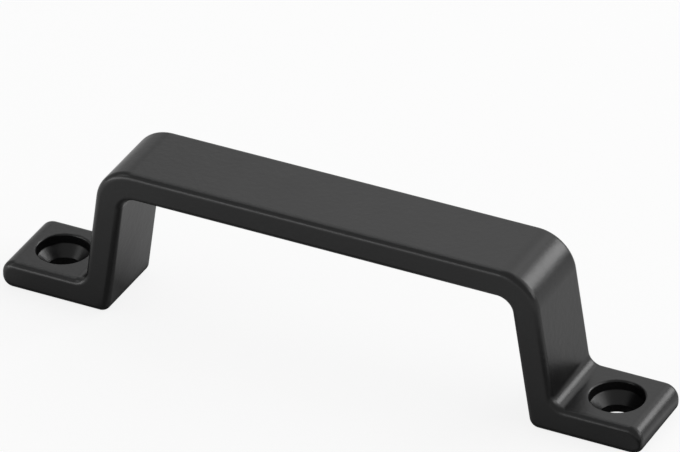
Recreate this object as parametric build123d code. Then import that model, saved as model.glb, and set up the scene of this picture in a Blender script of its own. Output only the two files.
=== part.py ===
from build123d import *
import math
import os

# Cabinet handle, cast in one piece. A straight grip stands on two leaning legs, and each
# leg ends in a flat foot that points outwards and takes one countersunk screw.
# X runs along the grip, Y across the bar and Z out from the face of the cabinet.
# The origin lies on that face, midway between the two screw holes.

# Driving dimensions of the bar, in millimetres and degrees
screw_spacing = 96.0
grip_height = 27.0
bar_width = 14.5
foot_thickness = 4.8
leg_thickness = 4.65
grip_thickness = 4.9
leg_lean = 8.5

# Bends and rounds of the bar, as radii
grip_outer_bend = 6.6
grip_inner_bend = 2.6
leg_foot_bend = 2.1
heel_bend = 1.7
toe_top_round = 2.4
toe_bottom_round = 1.9
long_edge_round = 1.1

# Screw hole: a straight recess for the head, a cone under it and a plain hole below
screw_hole_diameter = 5.2
recess_diameter = 8.8
recess_rim_round = 0.3
countersink_angle = 90.0
land_below_cone = 1.4
exit_chamfer = 0.25

# Flat metal left on top of a foot, on each side of the rim of the recess
flat_to_leg_bend = 1.0
flat_to_toe_round = 0.3

# How far the cutters run past the metal
cut_margin = 1.0

# Places that follow from the sizes above
lean = math.radians(leg_lean)
hole_x = screw_spacing / 2
hole_radius = screw_hole_diameter / 2
recess_radius = recess_diameter / 2
rim_radius = recess_radius + recess_rim_round
cone_depth = (recess_radius - hole_radius) / math.tan(math.radians(countersink_angle / 2))
leg_foot_reach = leg_foot_bend / math.tan((math.pi / 2 + lean) / 2)
leg_root_x = hole_x - rim_radius - flat_to_leg_bend - leg_foot_reach
toe_x = hole_x + rim_radius + flat_to_toe_round + toe_top_round
grip_underside = grip_height - grip_thickness


# The outer face of the right leg leans inwards from its root on the foot
def leg_outer_x(height):
    return leg_root_x - (height - foot_thickness) * math.tan(lean)


# The inner face is parallel to the outer one, one leg thickness behind it
def leg_inner_x(height):
    return leg_outer_x(height) - leg_thickness / math.cos(lean)


# Side view of the whole bar: each corner is its place and the radius that rounds it
def side_outline():
    right_side = [
        (leg_inner_x(0), 0, heel_bend),
        (toe_x, 0, toe_bottom_round),
        (toe_x, foot_thickness, toe_top_round),
        (leg_outer_x(foot_thickness), foot_thickness, leg_foot_bend),
        (leg_outer_x(grip_height), grip_height, grip_outer_bend),
    ]
    left_side = [(-x, z, radius) for x, z, radius in reversed(right_side)]
    under_grip = [
        (-leg_inner_x(grip_underside), grip_underside, grip_inner_bend),
        (leg_inner_x(grip_underside), grip_underside, grip_inner_bend),
    ]
    corners = right_side + left_side + under_grip
    with BuildSketch(Plane.XZ) as outline:
        with BuildLine():
            FilletPolyline(
                [(x, z) for x, z, radius in corners],
                radius=[radius for x, z, radius in corners],
                close=True,
            )
        make_face()
    return outline.sketch


# The outline is drawn out to the width of the bar, and both its rims are rounded
def cast_bar():
    bar = extrude(side_outline(), amount=bar_width / 2, both=True)
    rims = bar.faces().filter_by(Axis.Y).edges()
    return fillet(rims, long_edge_round)


# Turned cutter for one screw hole, from below the foot to above it
def screw_hole_cutter():
    cone_top = land_below_cone + cone_depth
    rim_centre = (rim_radius, foot_thickness - recess_rim_round)
    with BuildPart() as cutter:
        with BuildSketch(Plane.XZ):
            with BuildLine():
                wall = Polyline(
                    (0, foot_thickness + cut_margin),
                    (0, -cut_margin),
                    (hole_radius + exit_chamfer, -cut_margin),
                    (hole_radius + exit_chamfer, 0),
                    (hole_radius, exit_chamfer),
                    (hole_radius, land_below_cone),
                    (recess_radius, cone_top),
                    (recess_radius, foot_thickness - recess_rim_round),
                )
                rim = CenterArc(rim_centre, recess_rim_round, 180, -90)
                Polyline(rim @ 1, (rim_radius, foot_thickness + cut_margin), wall @ 0)
            make_face()
        revolve(axis=Axis.Z)
    return cutter.part


def cabinet_handle():
    handle = cast_bar()
    cutter = screw_hole_cutter()
    for side in (-1, 1):
        handle -= Pos(side * hole_x, 0, 0) * cutter
    return handle


os.makedirs("parts", exist_ok=True)
export_step(cabinet_handle(), "parts/handle.step")
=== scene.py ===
import math

import bpy
import numpy as np
from mathutils import Matrix, Vector


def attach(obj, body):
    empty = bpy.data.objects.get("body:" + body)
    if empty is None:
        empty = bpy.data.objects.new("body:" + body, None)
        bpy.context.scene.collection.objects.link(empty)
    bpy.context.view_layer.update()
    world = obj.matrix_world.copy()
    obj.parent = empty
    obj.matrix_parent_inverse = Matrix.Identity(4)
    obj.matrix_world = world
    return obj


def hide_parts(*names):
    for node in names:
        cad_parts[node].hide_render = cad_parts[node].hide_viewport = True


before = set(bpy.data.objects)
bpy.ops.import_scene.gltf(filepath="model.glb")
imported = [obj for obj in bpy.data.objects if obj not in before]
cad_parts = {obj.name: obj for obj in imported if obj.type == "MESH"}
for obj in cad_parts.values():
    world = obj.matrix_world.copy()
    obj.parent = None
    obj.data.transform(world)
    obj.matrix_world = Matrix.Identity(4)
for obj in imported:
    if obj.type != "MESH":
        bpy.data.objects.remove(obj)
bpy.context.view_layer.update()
print("frame loaded:", sorted(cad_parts))

mm = 0.001  # the handle is worked out in millimetres and placed in metres

# Sizes of the cast bar, in millimetres and degrees
barSizes = {
    "screwSpacing": 96.0,
    "gripHeight": 27.0,
    "width": 14.5,
    "footThickness": 4.8,
    "legThickness": 4.65,
    "gripThickness": 4.9,
    "legLean": 8.5,
    "gripOuterBend": 6.6,
    "gripInnerBend": 2.6,
    "legFootBend": 2.1,
    "heelBend": 1.7,
    "toeTopRound": 2.4,
    "toeBottomRound": 1.9,
    "longEdgeRound": 1.1,
    "flatToLegBend": 1.0,   # flat metal between the recess rim and the leg's bend
    "flatToToeRound": 0.3,  # and between the rim and the round of the toe
}

# Turned screw hole, from the top of the foot down, in millimetres
holeSizes = {
    "rimRound": 0.4,
    "recessRadius": 4.3,    # the coat makes the recess a little narrower and its rim rounder
    "innerRound": 0.4,      # and it fills and softens the corners inside
    "holeRadius": 2.6,
    "landBelowCone": 1.4,
    "exitChamfer": 0.25,
    "exitRound": 0.15,
}

# How finely each run is divided
meshSteps = {
    "acrossFlat": 24,       # over the bar's width, between its two long edges
    "edgeRound": 8,
    "sideRows": 4,          # from the upper to the lower outline, on the sides and the toes
    "alongFoot": 24,        # beside the screw hole
    "toeRound": 10,
    "footBend": 12,
    "heelFlat": 2,
    "leg": 10,
    "gripBend": 20,
    "grip": 48,
    "aroundHole": 5,        # on the flat, from the rectangle round a hole to its circle
    "holeRim": 6,
    "recessWall": 3,
    "holeBend": 8,
    "cone": 5,
    "plainHole": 3,
    "exitBend": 3,
    "exitCone": 1,
}

# Points closer than a step, in millimetres, become one. The shift, a share of the step, keeps
# round sizes away from the border between two steps
weldValues = {"step": 1e-5, "shift": 0.37}


def rimRadius(hole):
    # Where the round of the rim meets the top of the foot
    return hole["recessRadius"] + hole["rimRound"]


def legFaces(size, hole):
    # x of the leg's outer and inner face at a height, as two functions. The outer face starts
    # at its root on the foot and moves inwards by the height times the tangent of the lean,
    # and the inner face is parallel to it
    lean = math.radians(size["legLean"])
    bendReach = size["legFootBend"] / math.tan((math.pi / 2 + lean) / 2)
    rootX = size["screwSpacing"] / 2 - rimRadius(hole) - size["flatToLegBend"] - bendReach

    def outerX(height):
        return rootX - (height - size["footThickness"]) * math.tan(lean)

    def innerX(height):
        return outerX(height) - size["legThickness"] / math.cos(lean)

    return outerX, innerX


def evenShares(steps):
    # Cuts a run into equal lengths
    return lambda here, there: np.arange(1, steps + 1) / steps


def noShares(here, there):
    # For a run of no length, where a path starts or ends with a bend
    return np.zeros(0)


def fanShares(centreX, halfWidth, steps):
    # Cuts a run beside a round hole where even spokes from the hole's centre cross it
    def shares(here, there):
        first = math.atan2(halfWidth, here[0] - centreX)
        last = math.atan2(halfWidth, there[0] - centreX)
        angle = first + (last - first) * np.arange(1, steps + 1) / steps
        crossing = centreX + halfWidth / np.tan(angle)
        return (crossing - here[0]) / (there[0] - here[0])
    return shares


def bend(x, z, radius, shares, steps):
    # A corner of a path, its radius, the shares at which the straight run before it is cut
    # and the number of steps round it
    return {"at": np.array((x, z), float), "radius": radius, "shares": shares, "steps": steps}


def roundedRun(start, bends, end, lastShares, side):
    # A path of straight runs and bends. Each bend is an arc that touches both of its runs: it
    # starts the radius times the tangent of half the turn before the corner, and its points
    # are its centre plus the radius, turned by even angles. The outside lies to the right of
    # the path where side is 1, and to the left where it is -1. Returns the points and their
    # outward directions
    here = np.array(start, float)
    stops = [item["at"] for item in bends] + [np.array(end, float)]
    heading = (stops[0] - here) / np.linalg.norm(stops[0] - here)

    def outward(direction):
        return side * np.stack([direction[..., 1], -direction[..., 0]], -1)

    points, normals = [here[None]], [outward(heading)[None]]

    def addStraight(shares, there):
        points.append(here + shares[:, None] * (there - here))
        normals.append(np.repeat(outward(heading)[None], len(shares), 0))

    for item, stop, after in zip(bends, stops, stops[1:]):
        nextHeading = (after - stop) / np.linalg.norm(after - stop)
        turn = math.atan2(heading[0] * nextHeading[1] - heading[1] * nextHeading[0], heading @ nextHeading)
        reach = item["radius"] * math.tan(abs(turn) / 2)
        bendStart = stop - heading * reach
        addStraight(item["shares"](here, bendStart), bendStart)
        leftwards = np.array([-heading[1], heading[0]])
        spoke = -np.sign(turn) * leftwards
        centre = bendStart - item["radius"] * spoke
        angle = turn * np.arange(1, item["steps"] + 1) / item["steps"]
        cosine, sine = np.cos(angle)[:, None], np.sin(angle)[:, None]
        points.append(centre + item["radius"] * (spoke * cosine + np.array([-spoke[1], spoke[0]]) * sine))
        normals.append(outward(heading * cosine + leftwards * sine))
        here = stop + nextHeading * reach
        heading = nextHeading
    addStraight(lastShares(here, stops[-1]), stops[-1])
    return np.concatenate(points), np.concatenate(normals)


def sideChains(size, hole, steps):
    # The side view as two chains from the right toe to the left toe, one over the bar and
    # one under it, with equally many points, so that the side face is a strip between them
    outerX, innerX = legFaces(size, hole)
    holeX = size["screwSpacing"] / 2
    toeX = holeX + rimRadius(hole) + size["flatToToeRound"] + size["toeTopRound"]
    patchEnd = holeX - rimRadius(hole) - size["flatToLegBend"]
    foot, top = size["footThickness"], size["gripHeight"]
    under = top - size["gripThickness"]
    flatHalf = size["width"] / 2 - size["longEdgeRound"]
    rightFan = fanShares(holeX, flatHalf, steps["alongFoot"])
    leftFan = fanShares(-holeX, flatHalf, steps["alongFoot"])
    legShares, gripShares = evenShares(steps["leg"]), evenShares(steps["grip"])

    def heelRun(here, there):
        # Under the right foot: from the toe's round to the end of the hole's patch, then on
        # to the heel
        patchPoint = np.array([patchEnd, 0.0])
        share = (here[0] - patchEnd) / (here[0] - there[0])
        rest = share + (1 - share) * np.arange(1, steps["heelFlat"] + 1) / steps["heelFlat"]
        return np.concatenate([rightFan(here, patchPoint) * share, rest])

    def toeRun(here, there):
        # The same run under the left foot, walked from the heel to the toe
        patchPoint = np.array([-patchEnd, 0.0])
        share = (here[0] + patchEnd) / (here[0] - there[0])
        first = share * np.arange(1, steps["heelFlat"] + 1) / steps["heelFlat"]
        return np.concatenate([first, share + leftFan(patchPoint, there) * (1 - share)])

    toeTop, toeBottom = size["toeTopRound"], size["toeBottomRound"]
    toeSteps, gripSteps = steps["toeRound"], steps["gripBend"]
    over = roundedRun(
        (toeX, foot - toeTop),
        [
            bend(toeX, foot, toeTop, noShares, toeSteps),
            bend(outerX(foot), foot, size["legFootBend"], rightFan, steps["footBend"]),
            bend(outerX(top), top, size["gripOuterBend"], legShares, gripSteps),
            bend(-outerX(top), top, size["gripOuterBend"], gripShares, gripSteps),
            bend(-outerX(foot), foot, size["legFootBend"], legShares, steps["footBend"]),
            bend(-toeX, foot, toeTop, leftFan, toeSteps),
        ],
        (-toeX, foot - toeTop),
        noShares,
        side=1,
    )
    heelSteps = steps["footBend"] - steps["heelFlat"]
    below = roundedRun(
        (toeX, toeBottom),
        [
            bend(toeX, 0, toeBottom, noShares, toeSteps),
            bend(innerX(0), 0, size["heelBend"], heelRun, heelSteps),
            bend(innerX(under), under, size["gripInnerBend"], legShares, gripSteps),
            bend(-innerX(under), under, size["gripInnerBend"], gripShares, gripSteps),
            bend(-innerX(0), 0, size["heelBend"], legShares, heelSteps),
            bend(-toeX, 0, toeBottom, toeRun, toeSteps),
        ],
        (-toeX, toeBottom),
        noShares,
        side=-1,
    )
    return over, below


def holeProfile(size, hole, steps):
    # Down the hole: rim round, straight wall, cone, plain hole and chamfer, with small arcs
    # where two runs meet. Returns points of radius and height, and their outward directions
    recess, bore, rim = hole["recessRadius"], hole["holeRadius"], hole["rimRound"]
    top, coneFoot = size["footThickness"], hole["landBelowCone"]
    coneTop = coneFoot + recess - bore
    quarter = np.pi / 2 * np.arange(steps["holeRim"] + 1) / steps["holeRim"]
    rimPoints = np.stack([recess + rim - rim * np.sin(quarter), top - rim + rim * np.cos(quarter)], -1)
    rimOut = np.stack([-np.sin(quarter), np.cos(quarter)], -1)
    chamfer = hole["exitChamfer"]
    points, out = roundedRun(
        (recess, top - rim),
        [
            bend(recess, coneTop, hole["innerRound"], evenShares(steps["recessWall"]), steps["holeBend"]),
            bend(bore, coneFoot, hole["innerRound"], evenShares(steps["cone"]), steps["holeBend"]),
            bend(bore, chamfer, hole["exitRound"], evenShares(steps["plainHole"]), steps["exitBend"]),
        ],
        (bore + chamfer, 0),
        evenShares(steps["exitCone"]),
        side=1,
    )
    return np.concatenate([rimPoints[:-1], points]), np.concatenate([rimOut[:-1], out])


def closedOutline(over, below, steps):
    # The whole side view as one loop: over the bar, down the left toe, back below the bar
    # and up the right toe. The front of a toe is straight, from one chain to the other
    shares = np.arange(1, steps["sideRows"])[:, None] / steps["sideRows"]

    def toeFront(first, second, index):
        here, there = first[0][index], second[0][index]
        return here + shares * (there - here), np.repeat(first[1][index][None], len(shares), 0)

    leftToe, rightToe = toeFront(over, below, -1), toeFront(below, over, 0)
    places = [over[0], leftToe[0], below[0][::-1], rightToe[0], over[0][:1]]
    outward = [over[1], leftToe[1], below[1][::-1], rightToe[1], over[1][:1]]
    return np.concatenate(places), np.concatenate(outward)


def gridFaces(rows, columns, skip=None):
    # Quads of a grid of points, numbered row by row; skip masks out faces that a patch fills
    corner = np.arange(rows - 1)[:, None] * columns + np.arange(columns - 1)
    faces = np.stack([corner, corner + columns, corner + columns + 1, corner + 1], -1)
    if skip is not None:
        return faces[~skip]
    return faces.reshape(-1, 4)


def barShell(size, steps, loop, loopOut):
    # The outline carried across the bar: a quarter round, the flat, a quarter round. A point
    # lies on the outline, moved inwards by the edge radius times one minus the cosine of the
    # angle round the edge. Rows on the flat lie where even spokes from a hole would cross it
    edge = size["longEdgeRound"]
    flatHalf = size["width"] / 2 - edge
    quarter = np.pi / 2 * np.arange(steps["edgeRound"] + 1) / steps["edgeRound"]
    spokes = np.pi / 4 * (2 * np.arange(1, steps["acrossFlat"]) / steps["acrossFlat"] - 1)
    flatY = flatHalf * np.tan(spokes)
    angle = np.concatenate([-quarter[::-1], np.zeros(len(flatY)), quarter])
    baseY = np.concatenate([np.full(len(quarter), -flatHalf), flatY, np.full(len(quarter), flatHalf)])
    y = baseY + edge * np.sin(angle)
    inset = edge * (1 - np.cos(angle))
    section = loop[None] - inset[:, None, None] * loopOut[None]
    shape = section.shape[:2]
    shell = np.stack([section[..., 0], np.broadcast_to(y[:, None], shape), section[..., 1]], -1)
    cosine = np.cos(angle)[:, None]
    sine = np.broadcast_to(np.sin(angle)[:, None], shape)
    return shell, np.stack([cosine * loopOut[None, :, 0], sine, cosine * loopOut[None, :, 1]], -1)


def holeMouths(hole, steps, count):
    # Where a hole opens in the shell: the first column of its patch, the circle's radius, the
    # side of the bar and the way that the flat looks. Columns run as the closed outline does,
    # and count is the number of points in each of its two chains
    toe, foot = steps["toeRound"], steps["alongFoot"]
    belowStart = count + steps["sideRows"] - 1
    belowEnd = belowStart + count - 1
    topRadius, bottomRadius = rimRadius(hole), hole["holeRadius"] + hole["exitChamfer"]
    return {
        "rightTop": {"column": toe, "radius": topRadius, "side": 1, "up": 1.0},
        "leftTop": {"column": count - 1 - toe - foot, "radius": topRadius, "side": -1, "up": 1.0},
        "rightBottom": {"column": belowEnd - toe - foot, "radius": bottomRadius, "side": 1, "up": -1.0},
        "leftBottom": {"column": belowStart + toe, "radius": bottomRadius, "side": -1, "up": -1.0},
    }


def sideFace(size, steps, over, below, side):
    # A flat side of the bar: straight lines from the upper to the lower chain, both moved
    # inwards by the radius of the long edges
    edge = size["longEdgeRound"]
    upper = over[0] - edge * over[1]
    lower = below[0] - edge * below[1]
    flat = upper + np.arange(steps["sideRows"] + 1)[:, None, None] / steps["sideRows"] * (lower - upper)
    y = np.full(flat.shape[:2], side * size["width"] / 2)
    face = np.stack([flat[..., 0], y, flat[..., 1]], -1)
    return face, np.broadcast_to(np.array([0.0, side, 0.0]), face.shape)


def mouthPatch(size, steps, block, mouth):
    # From the rectangle round a hole to its circle: each point of the rectangle's border goes
    # straight towards the hole's axis. Returns the angles of these spokes too
    border = np.concatenate([block[0, :-1], block[:-1, -1], block[-1, :0:-1], block[::-1, 0]])
    axis = np.array([mouth["side"] * size["screwSpacing"] / 2, 0, border[0, 2]])
    spoke = border - axis
    circle = axis + mouth["radius"] * spoke / np.linalg.norm(spoke, axis=1)[:, None]
    rows = np.arange(steps["aroundHole"] + 1)[:, None, None] / steps["aroundHole"]
    patch = border + rows * (circle - border)
    out = np.broadcast_to(np.array([0.0, 0.0, mouth["up"]]), patch.shape)
    return patch, out, np.unwrap(np.arctan2(spoke[:, 1], spoke[:, 0]))


def holeWall(size, profile, side, upper, lower):
    # The hole's profile turned round its axis. Its spokes shift slowly from the upper circle's
    # angles to the lower one's
    points, slope = profile
    if np.sign(upper[-1] - upper[0]) != np.sign(lower[-1] - lower[0]):
        lower = lower[::-1]
    lower = lower + 2 * np.pi * np.round((upper[0] - lower[0]) / (2 * np.pi))
    around = upper + (np.arange(len(points)) / (len(points) - 1))[:, None] * (lower - upper)
    cosine, sine = np.cos(around), np.sin(around)
    radius, height = points[:, :1], np.broadcast_to(points[:, 1:], around.shape)
    wall = np.stack([side * size["screwSpacing"] / 2 + radius * cosine, radius * sine, height], -1)
    rise = np.broadcast_to(slope[:, 1:], around.shape)
    return wall, np.stack([slope[:, :1] * cosine, slope[:, :1] * sine, rise], -1)


def weldGrids(grids, weld):
    # All grids as one closed mesh: points that share a place become one, and each grid's
    # faces are turned to look the way that its outward directions point
    points, normals, faces, first = [], [], [], 0
    for place, out, quads in grids:
        place, out = place.reshape(-1, 3), out.reshape(-1, 3)
        diagonals = place[quads[:, 2]] - place[quads[:, 0]], place[quads[:, 3]] - place[quads[:, 1]]
        facing = (np.cross(*diagonals) * out[quads[:, 0]]).sum()
        points.append(place)
        normals.append(out)
        faces.append((quads if facing > 0 else quads[:, ::-1]) + first)
        first += len(place)
    points, normals, faces = np.concatenate(points), np.concatenate(normals), np.concatenate(faces)
    keys = np.floor(points / weld["step"] + weld["shift"]).astype(np.int64)
    _, kept, where = np.unique(keys, axis=0, return_index=True, return_inverse=True)
    return points[kept] * mm, normals[kept], where.reshape(-1)[faces]


def handleSurface(size, hole, steps, weld):
    # The whole skin: the shell with four openings, the two sides, a patch round each mouth
    # of the two holes, and the turned wall of each hole
    over, below = sideChains(size, hole, steps)
    shell, shellOut = barShell(size, steps, *closedOutline(over, below, steps))
    mouths = holeMouths(hole, steps, len(over[0]))
    rows, columns = shell.shape[:2]
    flatStart, flatEnd = steps["edgeRound"], steps["edgeRound"] + steps["acrossFlat"]
    skip = np.zeros((rows - 1, columns - 1), bool)
    for mouth in mouths.values():
        skip[flatStart:flatEnd, mouth["column"]:mouth["column"] + steps["alongFoot"]] = True
    grids = [(shell, shellOut, gridFaces(rows, columns, skip))]

    for side in (-1, 1):
        face, out = sideFace(size, steps, over, below, side)
        grids.append((face, out, gridFaces(*face.shape[:2])))

    spokes = {}
    for name, mouth in mouths.items():
        block = shell[flatStart:flatEnd + 1, mouth["column"]:mouth["column"] + steps["alongFoot"] + 1]
        patch, out, spokes[name] = mouthPatch(size, steps, block, mouth)
        grids.append((patch, out, gridFaces(*patch.shape[:2])))

    profile = holeProfile(size, hole, steps)
    for sideName, side in (("right", 1), ("left", -1)):
        wall, out = holeWall(size, profile, side, spokes[sideName + "Top"], spokes[sideName + "Bottom"])
        grids.append((wall, out, gridFaces(*wall.shape[:2])))
    return weldGrids(grids, weld)


def openEdges(faces):
    # How many edges don't have exactly two faces, which is none on a closed mesh
    edges = np.concatenate([faces[:, [0, 1]], faces[:, [1, 2]], faces[:, [2, 3]], faces[:, [3, 0]]])
    uses = np.unique(np.sort(edges, axis=1), axis=0, return_counts=True)[1]
    return int((uses != 2).sum())


points, normals, faces = handleSurface(barSizes, holeSizes, meshSteps, weldValues)
print("handle: points", len(points), "faces", len(faces), "open edges", openEdges(faces))

handleMesh = bpy.data.meshes.new("castHandle")
handleMesh.from_pydata(points.tolist(), [], faces.tolist())
handleMesh.polygons.foreach_set("use_smooth", np.ones(len(faces), bool))
handleMesh.normals_split_custom_set_from_vertices(normals.tolist())
handleMesh.update()
castHandle = bpy.data.objects.new("castHandle", handleMesh)
bpy.context.scene.collection.objects.link(castHandle)
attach(castHandle, "root")
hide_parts("handle")


def newMaterial(name):
    material = bpy.data.materials.new(name)
    material.use_nodes = True
    tree = material.node_tree
    return material, tree.nodes, tree.links, tree.nodes["Principled BSDF"]


def setInputs(node, values):
    for socket, value in values.items():
        node.inputs[socket].default_value = value


# Powder coat: fine grain over a soft ripple, on Object coordinates. Scales are per metre and
# depths in metres
coatLook = {
    "darkColour": (0.0045, 0.0045, 0.0047, 1),
    "lightColour": (0.0065, 0.0065, 0.0067, 1),
    "smooth": 0.28,         # roughness in the clouds' thin parts
    "dull": 0.33,           # and in their thick parts
    "thinCloud": 0.3,
    "thickCloud": 0.7,
    "shine": 0.5,           # specular level for whatever sees the coat straight
    "innerShine": 0.01,     # and for the coat's own gloss, which shows itself nearly black: painted shade in hollows and low legs
    "cloudScale": 160,
    "cloudDetail": 3,
    "rippleScale": 1000,
    "rippleDetail": 1,
    "rippleStrength": 0.4,
    "rippleDepth": 0.00005,
    "grainScale": 5200,
    "grainDetail": 2,
    "grainStrength": 0.10,
    "grainDepth": 0.000006,
}


def powderCoat(name, look):
    material, nodes, links, surface = newMaterial(name)
    place = nodes.new("ShaderNodeTexCoord")

    def noise(kind):
        node = nodes.new("ShaderNodeTexNoise")
        setInputs(node, {"Scale": look[kind + "Scale"], "Detail": look[kind + "Detail"]})
        links.new(place.outputs["Object"], node.inputs["Vector"])
        return node.outputs["Fac"]

    def bump(kind, below=None):
        node = nodes.new("ShaderNodeBump")
        setInputs(node, {"Strength": look[kind + "Strength"], "Distance": look[kind + "Depth"]})
        links.new(noise(kind), node.inputs["Height"])
        if below is not None:
            links.new(below, node.inputs["Normal"])
        return node.outputs["Normal"]

    cloud = noise("cloud")
    tone = nodes.new("ShaderNodeMix")
    tone.data_type = "RGBA"
    setInputs(tone, {"A": look["darkColour"], "B": look["lightColour"]})
    links.new(cloud, tone.inputs["Factor"])
    links.new(tone.outputs["Result"], surface.inputs["Base Color"])

    sheen = nodes.new("ShaderNodeMapRange")
    setInputs(sheen, {"From Min": look["thinCloud"], "From Max": look["thickCloud"]})
    setInputs(sheen, {"To Min": look["smooth"], "To Max": look["dull"]})
    links.new(cloud, sheen.inputs["Value"])
    links.new(sheen.outputs["Result"], surface.inputs["Roughness"])

    # Painted shade: where the coat mirrors itself it shows almost no shine, so hollows and the lower legs go
    # darker
    path = nodes.new("ShaderNodeLightPath")
    gloss = nodes.new("ShaderNodeMapRange")
    setInputs(gloss, {"To Min": look["shine"], "To Max": look["innerShine"]})
    links.new(path.outputs["Is Glossy Ray"], gloss.inputs["Value"])
    links.new(gloss.outputs["Result"], surface.inputs["Specular IOR Level"])

    links.new(bump("grain", below=bump("ripple")), surface.inputs["Normal"])
    return material


castHandle.data.materials.append(powderCoat("blackPowderCoat", coatLook))
print("coat made")

# Floor: plain and pale. The glow is the share of it that is plain white for whatever sees it
# straight, in gloss or through glass. The rest is lit, and keeps the object's soft shadow
floorLook = {
    "colour": (0.93, 0.93, 0.93, 1),
    "roughness": 1.0,
    "shine": 0.0,
    "glow": 0.85,
    "halfSize": 3.0,
    "height": -0.00005,     # a little below the feet, so that the two don't flicker
}


def levelPlane(name, spanX, spanY, height):
    (west, east), (south, north) = spanX, spanY
    corners = [(west, south, height), (east, south, height), (east, north, height), (west, north, height)]
    mesh = bpy.data.meshes.new(name)
    mesh.from_pydata(corners, [], [(0, 1, 2, 3)])
    plane = bpy.data.objects.new(name, mesh)
    bpy.context.scene.collection.objects.link(plane)
    return plane


def mathNode(nodes, links, operation, first, second=None):
    node = nodes.new("ShaderNodeMath")
    node.operation = operation
    for socket, value in zip(node.inputs, (first, second)):
        if isinstance(value, (int, float)):
            socket.default_value = value
        elif value is not None:
            links.new(value, socket)
    return node.outputs["Value"]


def paleFloor(look):
    span = (-look["halfSize"], look["halfSize"])
    floor = levelPlane("floor", span, span, look["height"])
    material, nodes, links, surface = newMaterial("paleFloor")
    setInputs(surface, {
        "Base Color": look["colour"],
        "Roughness": look["roughness"],
        "Specular IOR Level": look["shine"],
    })
    path = nodes.new("ShaderNodeLightPath")
    seen = path.outputs["Is Camera Ray"]
    for way in ("Is Glossy Ray", "Is Transmission Ray"):
        seen = mathNode(nodes, links, "ADD", seen, path.outputs[way])
    glow = nodes.new("ShaderNodeEmission")
    mix = nodes.new("ShaderNodeMixShader")
    links.new(mathNode(nodes, links, "MULTIPLY", seen, look["glow"]), mix.inputs["Fac"])
    links.new(surface.outputs["BSDF"], mix.inputs[1])
    links.new(glow.outputs["Emission"], mix.inputs[2])
    links.new(mix.outputs["Shader"], nodes["Material Output"].inputs["Surface"])
    floor.data.materials.append(material)


paleFloor(floorLook)

# A grey card on the floor keeps a dark sheen on the faces that mirror the ground: painted shade, a
# reflection of the shade on the ground near the bar. It shows in gloss only: the camera and the shadow
# see the floor. It is darkest along the bar's middle line and gets lighter with the distance from it.
# Brightness 1 is white
shadeCardLook = {
    "backNear": 0.13,       # brightness at the bar's line, on the side behind it
    "backReach": 0.0098,    # distance over which the dark falls to about a third
    "frontNear": 0.165,
    "frontReach": 0.0496,
    "far": 0.7,
    "endStart": 0.0509,     # from here, near the toes, the card gets light again
    "endRun": 0.016,        # over this length
    "halfSize": 0.4,
    "height": -0.00003,     # just above the floor
    "layer": 0.00001,       # and each card that lies on another is this much higher
}


def glossOnly(plane):
    plane.visible_camera = False
    plane.visible_diffuse = False
    plane.visible_transmission = False
    plane.visible_shadow = False


def reflectionCardMaterial(name):
    material, nodes, links, surface = newMaterial(name)
    setInputs(surface, {"Base Color": (0, 0, 0, 1), "Specular IOR Level": 0, "Emission Color": (1, 1, 1, 1)})
    return material, nodes, links, surface


# Painted shade in the coat's reflections: the grey card, seen in gloss only
def shadeReflectionCard(look):
    span = (-look["halfSize"], look["halfSize"])
    plane = levelPlane("shadeReflectionCard", span, span, look["height"])
    material, nodes, links, surface = reflectionCardMaterial("shadeReflectionCard")
    place = nodes.new("ShaderNodeTexCoord")
    split = nodes.new("ShaderNodeSeparateXYZ")
    links.new(place.outputs["Object"], split.inputs["Vector"])
    across = split.outputs["Y"]

    def maths(operation, first, second=None):
        return mathNode(nodes, links, operation, first, second)

    def darkening(near, reach):
        # How much darker than far the card is, which is the painted shade: it falls off as e to the power of
        # minus the distance from the bar divided by the reach
        fall = maths("EXPONENT", maths("DIVIDE", maths("ABSOLUTE", across), -reach))
        return maths("MULTIPLY", fall, look["far"] - near)

    behind = maths("GREATER_THAN", across, 0)
    inFront = maths("SUBTRACT", 1, behind)
    back = maths("MULTIPLY", behind, darkening(look["backNear"], look["backReach"]))
    front = maths("MULTIPLY", inFront, darkening(look["frontNear"], look["frontReach"]))
    alongBar = nodes.new("ShaderNodeMapRange")
    alongBar.interpolation_type = "SMOOTHSTEP"
    setInputs(alongBar, {"From Min": look["endStart"], "From Max": look["endStart"] + look["endRun"]})
    setInputs(alongBar, {"To Min": 1, "To Max": 0})
    links.new(maths("ABSOLUTE", split.outputs["X"]), alongBar.inputs["Value"])
    dark = maths("MULTIPLY", alongBar.outputs["Result"], maths("ADD", back, front))
    links.new(maths("SUBTRACT", look["far"], dark), surface.inputs["Emission Strength"])
    plane.data.materials.append(material)
    glossOnly(plane)


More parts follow.
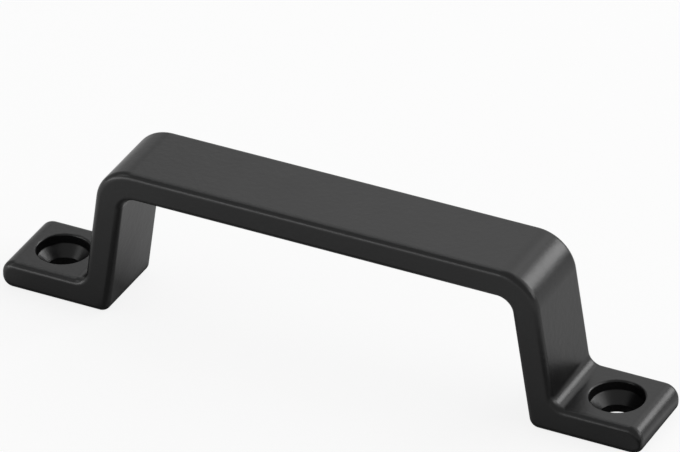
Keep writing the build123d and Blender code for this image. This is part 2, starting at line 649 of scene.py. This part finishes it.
# Small plain cards on the grey one, each a painted reflection in the coat. Light ones lie far and close
# behind the left end, and beside the right toe: painted highlights. Dark ones lie under the feet and their
# screw holes, in front of the bar below the grip, and beside and in front of the right foot, where they draw
# dark lines along lower edges: painted shade
paintedReflectionCards = {
    "leftFarHighlightCard": {"level": 0.58, "x": (-0.4, -0.06), "y": (0.03, 0.4), "layer": 1},
    "leftHighlightCard": {"level": 0.87, "x": (-0.086, -0.06), "y": (0.03, 0.062), "layer": 2},
    "toeHighlightCard": {"level": 0.86, "x": (0.0575, 0.09), "y": (-0.0065, 0.01), "layer": 1},
    "leftFootShadeCard": {"level": 0.08, "x": (-0.0562, -0.0358), "y": (-0.0083, 0.0083), "layer": 1},
    "rightFootShadeCard": {"level": 0.08, "x": (0.0358, 0.0562), "y": (-0.0083, 0.0083), "layer": 1},
    "leftHoleShadeCard": {"level": 0.03, "x": (-0.0515, -0.0445), "y": (-0.0035, 0.0035), "layer": 2},
    "rightHoleShadeCard": {"level": 0.03, "x": (0.0445, 0.0515), "y": (-0.0035, 0.0035), "layer": 2},
    "underGripShadeCard": {"level": 0.11, "x": (-0.039, 0.012), "y": (-0.03, -0.0083), "layer": 1},
    "besideFootShadeCard": {"level": 0.06, "x": (0.0562, 0.076), "y": (-0.038, -0.0075), "layer": 1},
    "beforeFootShadeCard": {"level": 0.06, "x": (0.044, 0.0562), "y": (-0.038, -0.0155), "layer": 1},
}


# Each card is a painted reflection: a light one a painted highlight, a dark one painted shade
def paintedReflectionCard(name, card, height):
    plane = levelPlane(name, card["x"], card["y"], height)
    material, nodes, links, surface = reflectionCardMaterial(name)
    setInputs(surface, {"Emission Strength": card["level"]})
    plane.data.materials.append(material)
    glossOnly(plane)


shadeReflectionCard(shadeCardLook)
for name, card in paintedReflectionCards.items():
    paintedReflectionCard(name, card, shadeCardLook["height"] + card["layer"] * shadeCardLook["layer"])
print("ground laid: floor, grey card and", len(paintedReflectionCards), "small cards")

# Softboxes: sizes in metres, angles in degrees, elevation above the floor. Brightness is the
# light that the panel's face sends out, where 1 renders white
boxDistance = 1.3  # of every panel from the origin
softboxes = {
    "backRight": {"azimuth": 147, "elevation": 24.7, "width": 0.42, "height": 0.55, "brightness": 4.85},
    "right": {"azimuth": 106.1, "elevation": 24.8, "width": 1.26, "height": 0.56, "brightness": 2.32},
    "highRight": {"azimuth": 135.9, "elevation": 55.1, "width": 1.51, "height": 0.81, "brightness": 0.83},
    "backLeft": {"azimuth": 190.5, "elevation": 37.7, "width": 0.85, "height": 0.8, "brightness": 0.57},
    "highBack": {"azimuth": 218.7, "elevation": 61.7, "width": 0.58, "height": 0.65, "brightness": 1},
    "highLeft": {"azimuth": 273.9, "elevation": 69.6, "width": 0.32, "height": 0.21, "brightness": 1.87},
    "frontLeft": {"azimuth": 316.9, "elevation": 7.3, "width": 1.23, "height": 0.31, "brightness": 3.35},
    "frontUpper": {"azimuth": 301.2, "elevation": 37, "width": 0.49, "height": 0.35, "brightness": 1.19},
    "lowBackLeft": {"azimuth": 217, "elevation": 17, "width": 0.45, "height": 0.4, "brightness": 0.3},
    "backGap": {"azimuth": 214, "elevation": 25, "width": 0.25, "height": 0.22, "brightness": 0.12},
}


def directionOf(azimuth, elevation):
    # The point one metre from the origin that way, for angles in radians: azimuth 0 is in front
    # of the bar (-Y), and a quarter turn is to its right (+X)
    return Vector((
        math.sin(azimuth) * math.cos(elevation),
        -math.cos(azimuth) * math.cos(elevation),
        math.sin(elevation),
    ))


def softbox(name, box, distance):
    towards = directionOf(math.radians(box["azimuth"]), math.radians(box["elevation"]))
    lamp = bpy.data.lights.new(name, "AREA")
    lamp.shape = "RECTANGLE"
    lamp.size, lamp.size_y = box["width"], box["height"]
    lamp.energy = box["brightness"] * math.pi * box["width"] * box["height"]
    holder = bpy.data.objects.new(name, lamp)
    holder.location = towards * distance
    holder.rotation_mode = "QUATERNION"
    holder.rotation_quaternion = (-towards).to_track_quat("-Z", "Y")
    holder.visible_camera = False
    bpy.context.scene.collection.objects.link(holder)


for name, box in softboxes.items():
    softbox(name, box, boxDistance)

# The room: soft light from all round, and a white ground where the camera looks past the floor
roomLook = {"light": 0.375, "seen": 1.0}


def roomLight(look):
    world = bpy.data.worlds.new("room")
    bpy.context.scene.world = world
    world.use_nodes = True
    nodes, links = world.node_tree.nodes, world.node_tree.links
    light, seen = nodes["Background"], nodes.new("ShaderNodeBackground")
    setInputs(light, {"Color": (1, 1, 1, 1), "Strength": look["light"]})
    setInputs(seen, {"Color": (1, 1, 1, 1), "Strength": look["seen"]})
    path = nodes.new("ShaderNodeLightPath")
    mix = nodes.new("ShaderNodeMixShader")
    links.new(path.outputs["Is Camera Ray"], mix.inputs["Fac"])
    links.new(light.outputs["Background"], mix.inputs[1])
    links.new(seen.outputs["Background"], mix.inputs[2])
    links.new(mix.outputs["Shader"], nodes["World Output"].inputs["Surface"])


roomLight(roomLook)
bpy.context.scene.view_settings.view_transform = "Standard"
print("light set:", len(softboxes), "softboxes")

# Camera: a long lens, with angles in degrees, distances in metres, lens and sensor in
# millimetres. Aim is how far right and up of the view's middle the origin lies
cameraLook = {
    "azimuth": 27.257,
    "elevation": 32.627,
    "roll": -0.927,
    "distance": 1.1583,
    "aimRight": -0.000585,
    "aimUp": -0.018774,
    "lens": 395.3,
    "sensorWidth": 36,
}


def makeCamera(look):
    azimuth, elevation, roll = (math.radians(look[k]) for k in ("azimuth", "elevation", "roll"))
    back = directionOf(azimuth, elevation)
    level = Vector((math.cos(azimuth), math.sin(azimuth), 0))
    upright = back.cross(level)
    right = math.cos(roll) * level + math.sin(roll) * upright
    up = back.cross(right)
    data = bpy.data.cameras.new("camera")
    data.lens = look["lens"]
    data.sensor_width = look["sensorWidth"]
    holder = bpy.data.objects.new("camera", data)
    place = -look["aimRight"] * right - look["aimUp"] * up + look["distance"] * back
    holder.matrix_world = Matrix((
        (right.x, up.x, back.x, place.x),
        (right.y, up.y, back.y, place.y),
        (right.z, up.z, back.z, place.z),
        (0, 0, 0, 1),
    ))
    bpy.context.scene.collection.objects.link(holder)
    bpy.context.scene.camera = holder


makeCamera(cameraLook)
print("camera set")

# Bring every object's placement up to date
bpy.context.view_layer.update()
